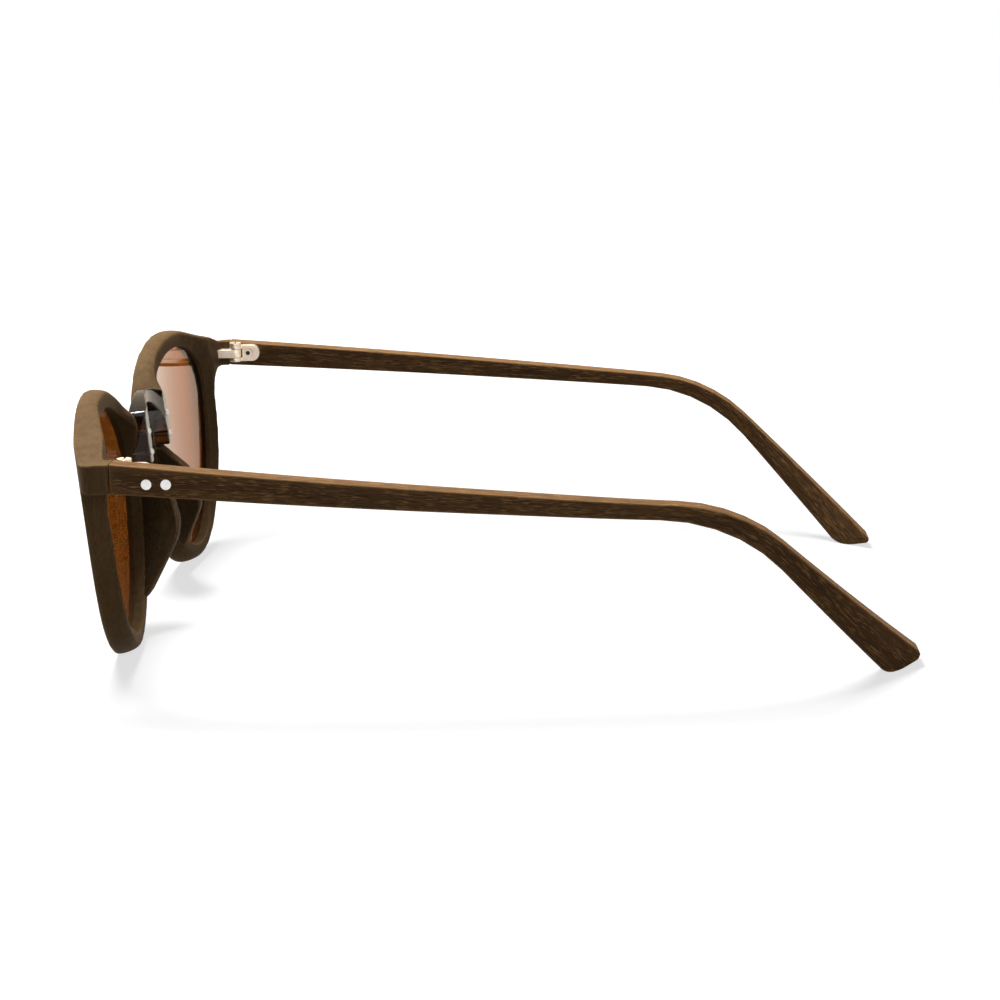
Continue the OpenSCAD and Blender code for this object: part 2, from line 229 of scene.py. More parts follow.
def select_faces(piece, wanted):
    """Selects the faces that a test on centre and normal picks, in edit mode."""
    leave()
    for face in piece.data.polygons:
        face.select = wanted(face.center, face.normal)
    for edge in piece.data.edges:
        edge.select = False
    for vertex in piece.data.vertices:
        vertex.select = False
    for face in piece.data.polygons:
        if face.select:
            for index in face.vertices:
                piece.data.vertices[index].select = True
    bpy.ops.object.mode_set(mode="EDIT")


def apply_modifier(piece, kind, **values):
    """Adds a modifier with these values and applies it."""
    modifier = piece.modifiers.new(kind.lower(), kind)
    for name, value in values.items():
        setattr(modifier, name, value)
    pick(piece)
    bpy.ops.object.modifier_apply(modifier=modifier.name)


def copy_of(node, name):
    """A copy of a CAD node with its own mesh, its loose triangles merged."""
    piece = frame["nodes"][node].copy()
    piece.data = piece.data.copy()
    piece.name = name
    piece.data.name = name
    piece.parent = None
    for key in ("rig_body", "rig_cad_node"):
        del piece[key]
    bpy.context.scene.collection.objects.link(piece)
    pick(piece)
    bpy.ops.mesh.customdata_custom_splitnormals_clear()
    edit(piece)
    bpy.ops.mesh.remove_doubles(threshold=MERGE_GAP * MM)
    leave()
    return piece


def reskin(piece, grit):
    """Gives a solid an even skin of small faces."""
    apply_modifier(piece, "REMESH", mode="VOXEL", voxel_size=grit * MM)


def sand(piece, passes, softness=None):
    """Rounds every edge, as sanding does, and less where a softness below 1 is given."""
    group = piece.vertex_groups.new(name="softness")
    weights = np.ones(len(piece.data.vertices)) if softness is None else softness
    for index, weight in enumerate(weights):
        group.add([index], float(weight), "REPLACE")
    apply_modifier(piece, "SMOOTH", factor=0.5, iterations=passes, vertex_group=group.name)
    piece.vertex_groups.clear()
    pick(piece)
    bpy.ops.object.shade_smooth()


def points_of(piece):
    """A piece's vertices as rows of x, y, z."""
    points = np.empty(len(piece.data.vertices) * 3)
    piece.data.vertices.foreach_get("co", points)
    return points.reshape(-1, 3)


def set_points(piece, points):
    """Moves a piece's vertices to these rows of x, y, z."""
    piece.data.vertices.foreach_set("co", points.ravel())
    piece.data.update()


def rising(values, limits):
    """0 up to the first limit, 1 from the second on, and even in between."""
    return np.interp(values, limits, (0, 1))


def falling(values, limits):
    """1 up to the first limit, 0 from the second on, and even in between."""
    return np.interp(values, limits, (1, 0))


def mark(piece, name, kind, values):
    """Keeps a value for each vertex, for the material to read."""
    attribute = piece.data.attributes.new(name, kind, "POINT")
    key = "vector" if kind == "FLOAT_VECTOR" else "value"
    attribute.data.foreach_set(key, np.asarray(values, np.float32).ravel())


def mark_wear(piece, flat, round_edge, edges=None):
    """Marks rubbed edges: 0 where the surface bends less than flat, 1 from round_edge on, in 1/mm."""
    mesh = piece.data
    points = points_of(piece)
    normals = np.empty(len(mesh.vertices) * 3)
    mesh.vertices.foreach_get("normal", normals)
    normals = normals.reshape(-1, 3)
    ends = np.empty(len(mesh.edges) * 2, int)
    mesh.edges.foreach_get("vertices", ends)
    first, second = ends.reshape(-1, 2).T
    bend = np.zeros(len(points))
    count = np.zeros(len(points))
    shortest_squared = 1e-12
    for here, there in ((first, second), (second, first)):
        step = points[there] - points[here]
        drop = -np.einsum("ij,ij->i", step, normals[here])
        length_squared = np.maximum(np.einsum("ij,ij->i", step, step), shortest_squared)
        np.add.at(bend, here, 2 * drop / length_squared)
        np.add.at(count, here, 1)
    bend = bend / np.maximum(count, 1) * MM
    wear = np.clip((bend - flat) / (round_edge - flat), 0, 1)
    if edges is not None:
        wear = np.maximum(wear, edges(normals))
    mark(piece, "wear", "FLOAT", wear)


def place(piece, body, slot, material, *nodes):
    """Puts a finished piece on its body, in the place of CAD nodes, with its material."""
    piece.data.materials.clear()
    piece.data.materials.append(material)
    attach(piece, body)
    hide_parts(*nodes)


# Shapes that the part's source is drawn with

def bow(x):
    """How far the bowed front lies back at a distance from its middle."""
    return BOW_RADIUS - math.sqrt(BOW_RADIUS * BOW_RADIUS - x * x)


def lens_depth(x, up):
    """How deep the middle of the round lens lies at a distance from the glasses' middle and up."""
    start = Vector((OPENING_X - OPENING_NASAL, bow(OPENING_X - OPENING_NASAL) - LENS_SIDE))
    end = Vector((OPENING_X + OPENING_TEMPORAL, bow(OPENING_X + OPENING_TEMPORAL) - LENS_SIDE))
    chord = end - start
    rise = math.sqrt(LENS_RADIUS * LENS_RADIUS - chord.length_squared / 4)
    centre = (start + end) / 2 + Vector((-chord.y, chord.x)).normalized() * rise
    middle = OPENING_UP + (OPENING_UPPER - OPENING_LOWER) / 2
    upright = ((up - middle) ** 2 - LENS_LEVEL * LENS_LEVEL) / 2 / LENS_RADIUS
    return centre.y - math.sqrt(LENS_RADIUS * LENS_RADIUS - (x - centre.x) ** 2) + upright


def on_front(x, depth, up):
    """A point of the leaning front: across, behind its rear face, and up along it."""
    y = JOINT_Y + FRONT_Y + depth * math.cos(LEAN) - up * math.sin(LEAN)
    z = FRONT_Z + depth * math.sin(LEAN) + up * math.cos(LEAN)
    return Vector((x, y, z)) * MM


def place_on_front(points):
    """How far each of these points lies across, behind the rear face, and up along the leaning front."""
    y = points[:, 1] / MM - JOINT_Y - FRONT_Y
    z = points[:, 2] / MM - FRONT_Z
    across = np.abs(points[:, 0]) / MM
    back = BOW_RADIUS - np.sqrt(BOW_RADIUS * BOW_RADIUS - across * across)
    depth = y * math.cos(LEAN) + z * math.sin(LEAN) - back
    return across, depth, z * math.cos(LEAN) - y * math.sin(LEAN)


def signed_power(value, power):
    """A power that keeps the sign of its value."""
    return math.copysign(abs(value) ** power, value)


def opening_point(angle, out):
    """A point of the lens opening's outline at an angle, moved out by a distance."""
    c = math.cos(angle)
    s = math.sin(angle)
    power = CORNER_POWER if c > 0 and s > 0 else SIDE_POWER
    wide = OPENING_TEMPORAL if c > 0 else OPENING_NASAL
    high = OPENING_UPPER if s > 0 else OPENING_LOWER
    point = Vector((wide * signed_power(c, 2 / power), high * signed_power(s, 2 / power)))
    away = Vector((signed_power(c, 2 - 2 / power) / wide, signed_power(s, 2 - 2 / power) / high))
    return point + away.normalized() * out


def rounded(corners, turn, closed):
    """The points of a line through corners (a, b, radius), each rounded in steps of an angle."""
    points = []
    count = len(corners)
    for index, (a, b, radius) in enumerate(corners):
        corner = Vector((a, b))
        if radius == 0 or (not closed and index in (0, count - 1)):
            points.append(corner)
            continue
        back = (Vector(corners[index - 1][:2]) - corner).normalized()
        ahead = (Vector(corners[(index + 1) % count][:2]) - corner).normalized()
        opening = back.angle(ahead)
        centre = corner + (back + ahead).normalized() * radius / math.sin(opening / 2)
        start = corner + back * radius / math.tan(opening / 2) - centre
        sweep = math.pi - opening
        if back.x * ahead.y - back.y * ahead.x > 0:
            sweep = -sweep
        steps = max(2, math.ceil(abs(sweep) / turn))
        for step in range(steps + 1):
            points.append(centre + Matrix.Rotation(sweep * step / steps, 2) @ start)
    return points


def temple_line(y):
    """The middle of a temple seen from above, and its slope, at a distance behind the joint."""
    if y < BOW_END:
        angle = math.pi * max(y, 0) / BOW_END
        return TEMPLE_X + TEMPLE_BOW * math.sin(angle), TEMPLE_BOW * math.pi / BOW_END * math.cos(angle)
    share = (y - BOW_END) / SWEEP_LENGTH
    x = TEMPLE_X + SWEEP_SLOPE * (y - BOW_END) - SWEEP * share ** SWEEP_POWER
    slope = SWEEP_SLOPE - SWEEP * SWEEP_POWER / SWEEP_LENGTH * share ** (SWEEP_POWER - 1)
    return x, slope


# Finishes

# The colour sockets of the Mix node, which share their names with others
MIX_FIRST = 6
MIX_SECOND = 7
MIX_RESULT = 2


def add_node(tree, kind, **settings):
    """Adds a shader node with these settings."""
    made = tree.nodes.new(kind)
    for name, value in settings.items():
        setattr(made, name, value)
    return made


def feed(tree, source, target):
    """Links a socket, or sets a plain value."""
    if isinstance(source, bpy.types.NodeSocket):
        tree.links.new(source, target)
    else:
        target.default_value = source


def maths(tree, operation, first, second=0.0):
    """One step of arithmetic on sockets or plain values."""
    made = add_node(tree, "ShaderNodeMath", operation=operation)
    feed(tree, first, made.inputs[0])
    feed(tree, second, made.inputs[1])
    return made.outputs[0]


def plus(tree, first, second):
    return maths(tree, "ADD", first, second)


def minus(tree, first, second):
    return maths(tree, "SUBTRACT", first, second)


def times(tree, first, second):
    return maths(tree, "MULTIPLY", first, second)


def blend_colour(tree, share, first, second):
    """Goes from the first colour to the second as the share goes from 0 to 1."""
    made = add_node(tree, "ShaderNodeMix", data_type="RGBA")
    feed(tree, share, made.inputs[0])
    feed(tree, first, made.inputs[MIX_FIRST])
    feed(tree, second, made.inputs[MIX_SECOND])
    return made.outputs[MIX_RESULT]


def between(tree, value, low, high, to_low=0.0, to_high=1.0):
    """Stretches the part of a value between two limits, smoothly."""
    made = add_node(tree, "ShaderNodeMapRange", interpolation_type="SMOOTHSTEP")
    feed(tree, value, made.inputs["Value"])
    made.inputs["From Min"].default_value = low
    made.inputs["From Max"].default_value = high
    made.inputs["To Min"].default_value = to_low
    made.inputs["To Max"].default_value = to_high
    return made.outputs["Result"]


def streaks(tree, vector, along, across, detail=2.0, shift=0.0):
    """Noise drawn out along the grain: the length and the width of its marks are in millimetres."""
    mapping = add_node(tree, "ShaderNodeMapping")
    feed(tree, vector, mapping.inputs["Vector"])
    mapping.inputs["Scale"].default_value = (1 / along / MM, 1 / across / MM, 1 / across / MM)
    mapping.inputs["Location"].default_value = (shift, shift, shift)
    noise = add_node(tree, "ShaderNodeTexNoise")
    noise.inputs["Scale"].default_value = 1
    noise.inputs["Detail"].default_value = detail
    noise.inputs["Roughness"].default_value = 0.55
    feed(tree, mapping.outputs["Vector"], noise.inputs["Vector"])
    return noise.outputs["Fac"]


def new_group(name, inputs, outputs):
    """A node group with these sockets, and its two end nodes."""
    group = bpy.data.node_groups.new(name, "ShaderNodeTree")
    for label, kind in inputs:
        group.interface.new_socket(name=label, in_out="INPUT", socket_type="NodeSocket" + kind)
    for label, kind in outputs:
        group.interface.new_socket(name=label, in_out="OUTPUT", socket_type="NodeSocket" + kind)
    return group, add_node(group, "NodeGroupInput"), add_node(group, "NodeGroupOutput")


# How much the wood's marks show in its tone, its roughness and its height
BAND_TONE = 0.45
FIBRE_TONE = 0.55
PORE_TONE = 0.6
PORE_ROUGHNESS = 0.15
MARK_HEIGHT = 0.35
PORE_DEPTH = 0.8


def make_wood_grain():
    """Brushed dark wood: bands, fibres, tan flecks, open pores and rubbed edges."""
    group, given, result = new_group(
        "wood_grain",
        [("Grain", "Vector"), ("Wear", "Float"), ("Flecks", "Float"),
         ("Dark", "Color"), ("Brown", "Color"), ("Tan", "Color")],
        [("Colour", "Color"), ("Roughness", "Float"), ("Height", "Float")],
    )
    grain = given.outputs["Grain"]
    bands = streaks(group, grain, along=28, across=1.5, detail=3)
    fibres = streaks(group, grain, along=5, across=0.17, shift=3.1)
    marks = streaks(group, grain, along=2.4, across=0.14, detail=1, shift=7.7)
    patches = streaks(group, grain, along=7, across=1.4, shift=11.3)
    pores = streaks(group, grain, along=1.8, across=0.17, detail=1, shift=17.9)
    bands = between(group, bands, low=0.3, high=0.7)
    marks = between(group, marks, low=0.54, high=0.64)
    patches = between(group, patches, low=0.34, high=0.56)
    pores = between(group, pores, low=0.6, high=0.7)
    clear_fibres = between(group, fibres, low=0.3, high=0.7)
    share = plus(group, times(group, bands, BAND_TONE), times(group, clear_fibres, FIBRE_TONE))
    body = blend_colour(group, share, given.outputs["Dark"], given.outputs["Brown"])
    fleck = times(group, times(group, marks, patches), given.outputs["Flecks"])
    flecked = blend_colour(group, fleck, body, given.outputs["Tan"])
    pored = blend_colour(group, times(group, pores, PORE_TONE), flecked, given.outputs["Dark"])
    rubbed_fibres = between(group, fibres, low=0.25, high=0.6, to_low=0.45, to_high=0.9)
    rub = times(group, given.outputs["Wear"], rubbed_fibres)
    feed(group, blend_colour(group, rub, pored, given.outputs["Tan"]), result.inputs["Colour"])
    rough_fibres = between(group, fibres, low=0.3, high=0.7, to_low=0.5, to_high=0.62)
    rough = plus(group, rough_fibres, times(group, pores, PORE_ROUGHNESS))
    feed(group, rough, result.inputs["Roughness"])
    raised = plus(group, fibres, times(group, marks, MARK_HEIGHT))
    feed(group, minus(group, raised, times(group, pores, PORE_DEPTH)), result.inputs["Height"])
    return group


def make_fine_scratches():
    """Fine turned or rubbed marks on metal and polished plastic."""
    group, given, result = new_group(
        "fine_scratches",
        [("Place", "Vector")],
        [("Marks", "Float"), ("Cloud", "Float")],
    )
    place_in = given.outputs["Place"]
    marks = streaks(group, place_in, along=1.6, across=0.06)
    crossing = streaks(group, place_in, along=0.08, across=1.1, shift=5.3)
    cloud = streaks(group, place_in, along=1.2, across=1.2, detail=3, shift=9.1)
    mean = times(group, plus(group, marks, crossing), 0.5)
    feed(group, mean, result.inputs["Marks"])
    feed(group, cloud, result.inputs["Cloud"])
    return group


def new_material(name):
    """A material, its node tree and its shader."""
    material = bpy.data.materials.new(name)
    material.use_nodes = True
    tree = material.node_tree
    return material, tree, tree.nodes["Principled BSDF"]


def bump(tree, shader, height, depth, strength):
    """Raises a surface by a height from 0 to 1 times a depth in millimetres."""
    made = add_node(tree, "ShaderNodeBump")
    made.inputs["Distance"].default_value = depth * MM
    made.inputs["Strength"].default_value = strength
    feed(tree, height, made.inputs["Height"])
    feed(tree, made.outputs["Normal"], shader.inputs["Normal"])


def wood(name, dark, brown, tan, flecks, rubbed, along_attribute=None):
    """A wood finish. The grain follows the piece's own marks, or runs up the front."""
    material, tree, shader = new_material(name)
    grain = add_node(tree, "ShaderNodeGroup", node_tree=wood_grain)
    if along_attribute:
        source = add_node(tree, "ShaderNodeAttribute", attribute_name=along_attribute).outputs["Vector"]
    else:
        turned = add_node(tree, "ShaderNodeMapping")
        turned.inputs["Rotation"].default_value = (0, math.radians(90), 0)
        feed(tree, add_node(tree, "ShaderNodeTexCoord").outputs["Object"], turned.inputs["Vector"])
        source = turned.outputs["Vector"]
    feed(tree, source, grain.inputs["Grain"])
    wear = add_node(tree, "ShaderNodeAttribute", attribute_name="wear").outputs["Fac"]
    feed(tree, times(tree, wear, rubbed), grain.inputs["Wear"])
    feed(tree, flecks, grain.inputs["Flecks"])
    feed(tree, dark, grain.inputs["Dark"])
    feed(tree, brown, grain.inputs["Brown"])
    feed(tree, tan, grain.inputs["Tan"])
    feed(tree, grain.outputs["Colour"], shader.inputs["Base Color"])
    feed(tree, grain.outputs["Roughness"], shader.inputs["Roughness"])
    shader.inputs["Specular IOR Level"].default_value = 0.05
    bump(tree, shader, grain.outputs["Height"], depth=0.05, strength=0.5)
    return material


# The lens's tint and a darker copy of it, the distances from the middle over which that darker copy comes
# in as a painted reflection of the dark lug, and the distances over which the coat thins
AMBER = srgb(134, 71, 16)
PAINTED_DARK_AMBER = srgb(88, 45, 9)
PAINTED_DARK_FROM = 47
PAINTED_DARK_TO = 57
COAT_FROM = 14
COAT_TO = 50


def tinted_lens():
    """Amber sunglass lens, painted darker at the temple end as a reflection of the dark lug, with a clear
    coat that thins away from the nose.
    """
    material, tree, shader = new_material("amber_lens")
    place_in = add_node(tree, "ShaderNodeTexCoord").outputs["Object"]
    split = add_node(tree, "ShaderNodeSeparateXYZ")
    feed(tree, place_in, split.inputs[0])
    across = maths(tree, "ABSOLUTE", split.outputs["X"])
    # Painted reflection: towards the temple end the tint turns darker, standing in for the dark lug wood
    # that the lens mirrors there
    painted_dark = between(tree, across, low=PAINTED_DARK_FROM * MM, high=PAINTED_DARK_TO * MM)
    feed(tree, blend_colour(tree, painted_dark, AMBER, PAINTED_DARK_AMBER), shader.inputs["Base Color"])
    scratches = add_node(tree, "ShaderNodeGroup", node_tree=fine_scratches)
    feed(tree, place_in, scratches.inputs["Place"])
    rough = between(tree, scratches.outputs["Marks"], low=0.62, high=0.85, to_low=0.0, to_high=0.008)
    feed(tree, rough, shader.inputs["Roughness"])
    shader.inputs["Transmission Weight"].default_value = 1
    shader.inputs["IOR"].default_value = 1.45
    coat = between(tree, across, low=COAT_FROM * MM, high=COAT_TO * MM, to_low=1.0, to_high=0.0)
    feed(tree, coat, shader.inputs["Coat Weight"])
    shader.inputs["Coat Roughness"].default_value = 0.03
    return material


def clear_acetate():
    """Glossy see-through brown acetate, darker the deeper one looks into it, with clouds in its tone."""
    material, tree, shader = new_material("brown_acetate")
    place_in = add_node(tree, "ShaderNodeTexCoord").outputs["Object"]
    clouds = streaks(tree, place_in, along=5, across=2.6, detail=3)
    clouds = between(tree, clouds, low=0.35, high=0.65)
    colour = blend_colour(tree, clouds, srgb(232, 212, 188), srgb(250, 240, 226))
    feed(tree, colour, shader.inputs["Base Color"])
    scratches = add_node(tree, "ShaderNodeGroup", node_tree=fine_scratches)
    feed(tree, place_in, scratches.inputs["Place"])
    rough = between(tree, scratches.outputs["Cloud"], low=0.3, high=0.7, to_low=0.02, to_high=0.07)
    feed(tree, rough, shader.inputs["Roughness"])
    shader.inputs["Transmission Weight"].default_value = 1
    shader.inputs["IOR"].default_value = 1.49
    depth = add_node(tree, "ShaderNodeVolumeAbsorption")
    depth.inputs["Color"].default_value = (0.56, 0.43, 0.26, 1)
    depth.inputs["Density"].default_value = 1900
    feed(tree, depth.outputs[0], tree.nodes["Material Output"].inputs["Volume"])
    return material


# The metal's tones, how rough it is, how much rougher its marks are, the painted shade in a screw's socket,
# and how far below the screw's face it starts
HINGE_PALE = srgb(248, 234, 216)
HINGE_WORN = srgb(236, 220, 202)
HINGE_ROUGH = 0.42
RIVET_PALE = srgb(214, 212, 210)
RIVET_WORN = srgb(202, 200, 197)
RIVET_ROUGH = 0.4
MARKS_ROUGHER = 0.08
SOCKET_SHADE = srgb(34, 25, 14)
SOCKET_SHADE_DEPTH = 0.12


def pale_metal(name, colour, worn, rough):
    """Pale plated metal with fine marks."""
    material, tree, shader = new_material(name)
    scratches = add_node(tree, "ShaderNodeGroup", node_tree=fine_scratches)
    feed(tree, add_node(tree, "ShaderNodeTexCoord").outputs["Object"], scratches.inputs["Place"])
    cloud = between(tree, scratches.outputs["Cloud"], low=0.35, high=0.7)
    feed(tree, blend_colour(tree, cloud, colour, worn), shader.inputs["Base Color"])
    rougher = rough + MARKS_ROUGHER
    marks = between(tree, scratches.outputs["Marks"], low=0.3, high=0.7, to_low=rough, to_high=rougher)
    feed(tree, marks, shader.inputs["Roughness"])
    shader.inputs["Metallic"].default_value = 1
    return material


def shaded_socket_screw_metal():
    """The hinge metal, with painted shade, dark and not metallic, in the screws' sockets, which lie deeper
    than the screws' faces.
    """
    material = pale_metal("shaded_socket_screw_metal", HINGE_PALE, HINGE_WORN, HINGE_ROUGH)
    tree = material.node_tree
    shader = tree.nodes["Principled BSDF"]
    split = add_node(tree, "ShaderNodeSeparateXYZ")
    feed(tree, add_node(tree, "ShaderNodeTexCoord").outputs["Object"], split.inputs[0])
    across = maths(tree, "ABSOLUTE", split.outputs["X"])
    # Painted shade: below the screws' faces the colour turns dark brown and stops being metal
    deep = between(tree, across, low=SCREW_FACE_X * MM, high=(SCREW_FACE_X + SOCKET_SHADE_DEPTH) * MM)
    clean = shader.inputs["Base Color"].links[0].from_socket
    feed(tree, blend_colour(tree, deep, clean, SOCKET_SHADE), shader.inputs["Base Color"])
    feed(tree, minus(tree, 1.0, deep), shader.inputs["Metallic"])
    return material


wood_grain = make_wood_grain()
fine_scratches = make_fine_scratches()
temple_wood = wood(
    "temple_wood",
    dark=srgb(86, 62, 41),
    brown=srgb(142, 106, 70),
    tan=srgb(204, 154, 100),
    flecks=1.0,
    rubbed=0.8,
    along_attribute="grain",
)
rim_wood = wood(
    "rim_wood",
    dark=srgb(106, 82, 55),
    brown=srgb(138, 109, 73),
    tan=srgb(182, 146, 102),
    flecks=0.15,
    rubbed=0.3,
)
# Painted shade: the pads' wood is about half as bright as the rim's, for the shade that they sit in behind
# the rims
pad_wood = wood(
    "pad_wood",
    dark=srgb(50, 38, 22),
    brown=srgb(80, 61, 37),
    tan=srgb(204, 154, 100),
    flecks=0.1,
    rubbed=0.4,
)
amber_lens = tinted_lens()
brown_acetate = clear_acetate()
hinge_steel = pale_metal("hinge_steel", HINGE_PALE, HINGE_WORN, HINGE_ROUGH)
shaded_screw_steel = shaded_socket_screw_metal()
rivet_steel = pale_metal("rivet_steel", RIVET_PALE, RIVET_WORN, RIVET_ROUGH)


# Wooden rims and nose pads, sanded from the CAD shapes

def fill_groove(rim, side):
    """Joins a ring to the rim that fills its groove, so that the lens sits in solid wood."""
    bpy.ops.mesh.primitive_cylinder_add(vertices=OUTLINE_POINTS, radius=1, depth=2, end_fill_type="NOTHING")
    ring = new_piece("groove_ring")
    for vertex in ring.data.vertices:
        x, up = opening_point(math.atan2(vertex.co.y, vertex.co.x), RING_THICK / 2)
        x = OPENING_X + x
        depth = lens_depth(x, OPENING_UP + up) + vertex.co.z * RING_HALF
        vertex.co = on_front(SIDES[side] * x, depth, OPENING_UP + up)
    apply_modifier(ring, "SOLIDIFY", thickness=RING_THICK * MM, offset=0)
    edit(ring)
    bpy.ops.mesh.normals_make_consistent(inside=False)
    leave()
    pick(ring)
    rim.select_set(True)
    bpy.context.view_layer.objects.active = rim
    bpy.ops.object.join()


def move_back(piece, distances):
    """Moves each point of a piece back by its own distance, square to the leaning front."""
    points = points_of(piece)
    points += np.outer(distances * MM, (0, math.cos(LEAN), math.sin(LEAN)))
    set_points(piece, points)


def raise_nose(piece):
    """Carves the rear face so that it rises towards the bridge."""
    across, depth, up = place_on_front(points_of(piece))
    rise = np.interp(up, NOSE_UP, NOSE_RISE) * falling(across, NOSE_X)
    move_back(piece, rise * rising(depth, NOSE_DEPTH))


def shape_brow(piece):
    """Carves the rear face along the brow, thinner in the middle and flowing back into the lug."""
    across, depth, up = place_on_front(points_of(piece))
    back = np.interp(across, BROW_X, BROW_BACK) * rising(up, BROW_UP)
    move_back(piece, back * rising(depth, BROW_DEPTH) * falling(depth, BROW_PROUD))


def wall_share(over, above):
    """How far out in the rim's wall points lie, from 0 at the opening to 1 outside."""
    wide = np.where(over > 0, OPENING_TEMPORAL, OPENING_NASAL)
    high = np.where(above > 0, OPENING_UPPER, OPENING_LOWER)
    power = np.where((over > 0) & (above > 0), CORNER_POWER, SIDE_POWER)
    level = (np.abs(over / wide) ** power + np.abs(above / high) ** power) ** (1 / power)
    reach = np.hypot(over, above)
    return np.clip((reach - reach / level) / RIM_WALL, 0, 1)


def ease_opening(piece):
    """Slopes the rear edge of the lens opening away at the temple end."""
    across, depth, up = place_on_front(points_of(piece))
    wall = wall_share(across - OPENING_X, up - OPENING_UP)
    ease = EDGE_EASE * falling(wall, EDGE_WALL) * rising(depth, EDGE_DEPTH)
    move_back(piece, -ease * rising(across, EDGE_X))


def lug_share(across, up):
    """1 on the lug, 0 on the rest of the rim."""
    return rising(across, LUG_START_X) * rising(up, LUG_START_UP)


def taper_rear(piece):
    """Draws the rim's outside in towards its rear edge, except at the brow's end and on the lug."""
    points = points_of(piece)
    across, depth, up = place_on_front(points)
    over = across - OPENING_X
    above = up - OPENING_UP
    reach = np.hypot(over, above)
    share = np.clip(1 + depth / TAPER_DEPTH, 0, 1)
    brow_end = rising(across, BROW_END_X) * rising(up, BROW_END_UP)
    amount = TAPER * wall_share(over, above) * share * share * (1 - brow_end)
    points[:, 0] -= np.sign(points[:, 0]) * amount * over / reach * MM
    inward = amount * above / reach * MM
    points[:, 1] += inward * math.sin(LEAN)
    points[:, 2] -= inward * math.cos(LEAN)
    set_points(piece, points)


def on_lug(point):
    return abs(point.x) > LUG_X * MM and point.z > LUG_Z * MM


def at_joint(point):
    return abs(point.y - JOINT_Y * MM) < JOINT_GAP * MM


def lengthen_lug(piece):
    """Draws the lug's end back past the joint, so that sanding leaves it square there."""
    edit(piece)
    select_faces(piece, lambda centre, normal: on_lug(centre) and at_joint(centre))
    bpy.ops.transform.translate(value=(0, LUG_SPARE * MM, 0))
    leave()


def trim_lug(piece):
    """Cuts the lug off at the joint."""
    edit(piece)
    select_faces(piece, lambda centre, normal: on_lug(centre))
    bpy.ops.mesh.bisect(plane_co=(0, JOINT_Y * MM, 0), plane_no=(0, 1, 0), use_fill=True, clear_outer=True)
    leave()
    pick(piece)
    bpy.ops.object.shade_smooth_by_angle(angle=math.radians(50))


def make_rim(side):
    """A rim with its groove filled, carved behind, sanded, and square at the joint."""
    piece = copy_of("rim_" + side, "sanded_rim_" + side)
    lengthen_lug(piece)
    fill_groove(piece, side)
    reskin(piece, RIM_GRIT)
    raise_nose(piece)
    ease_opening(piece)
    shape_brow(piece)
    taper_rear(piece)
    across, depth, up = place_on_front(points_of(piece))
    wall = wall_share(across - OPENING_X, up - OPENING_UP)
    softness = np.interp(wall, RIM_SOFT_WALL, RIM_SOFTNESS)
    sand(piece, RIM_PASSES, softness * (1 - LUG_KEPT * lug_share(across, up)))
    trim_lug(piece)
    mark_wear(piece, flat=0.25, round_edge=0.7)
    place(piece, "front", "rim_wood", rim_wood, "rim_" + side)


def make_pad(side):
    """A sanded nose pad that reaches a little into its rim, so that sanding opens no seam."""
    piece = copy_of("nose_pad_" + side, "sanded_nose_pad_" + side)
    edit(piece)
    select_faces(piece, lambda centre, normal: normal.y < -FACING)
    bpy.ops.transform.translate(value=(0, -PAD_SUNK * MM, 0))
    leave()
    reskin(piece, PAD_GRIT)
    sand(piece, PAD_PASSES)
    mark_wear(piece, flat=0.3, round_edge=0.9)
    place(piece, "front", "pad_wood", pad_wood, "nose_pad_" + side)


# Temples: a side outline, widened in three steps, cut across its length, then bent as seen from above

def top_wear(normals):
    """A little wear on a temple's top and underside."""
    return TOP_WEAR * falling(np.abs(normals[:, 0]), TURNED_ASIDE)


def make_temple(side):
    """A bent temple with rounded edges and its grain along it."""
    sign = SIDES[side]
    outline = rounded(TEMPLE_CORNERS, turn=math.radians(9), closed=True)
    bpy.ops.mesh.primitive_circle_add(vertices=len(outline), radius=1, fill_type="NGON")
    piece = new_piece("bent_temple_" + side)
    half = TEMPLE_THICK / 2
    for vertex, (y, z) in zip(piece.data.vertices, outline):
        vertex.co = Vector((-half, y, z)) * MM
    edit(piece)
    for width in (SIDE_STRIP, TEMPLE_THICK - 2 * SIDE_STRIP, SIDE_STRIP):
        bpy.ops.mesh.extrude_region_move(TRANSFORM_OT_translate={"value": (width * MM, 0, 0)})
    select_faces(piece, lambda centre, normal: abs(normal.x) > FACING)
    bpy.ops.mesh.inset(thickness=SIDE_INSET * MM, use_even_offset=True)
    for y in range(CUT_STEP, TEMPLE_END, CUT_STEP):
        bpy.ops.mesh.select_all(action="SELECT")
        bpy.ops.mesh.bisect(plane_co=(0, y * MM, 0), plane_no=(0, 1, 0))
    bpy.ops.mesh.select_all(action="SELECT")
    bpy.ops.mesh.normals_make_consistent(inside=False)
    leave()
    for vertex in piece.data.vertices:
        x, slope = temple_line(vertex.co.y / MM)
        vertex.co.x = sign * (x * MM + vertex.co.x * math.sqrt(1 + slope * slope))
        vertex.co.y += JOINT_Y * MM
    if sign < 0:
        edit(piece)
        bpy.ops.mesh.flip_normals()
        leave()
    apply_modifier(piece, "BEVEL", width=TEMPLE_EDGE * MM, segments=4, limit_method="ANGLE",
                   angle_limit=math.radians(50), use_clamp_overlap=False)
    pick(piece)
    bpy.ops.object.shade_smooth_by_angle(angle=math.radians(35))
    mark_wear(piece, flat=0.3, round_edge=1.2, edges=top_wear)
    mark_grain(piece, sign)
    place(piece, side + "_temple", "temple_wood", temple_wood, "temple_" + side)


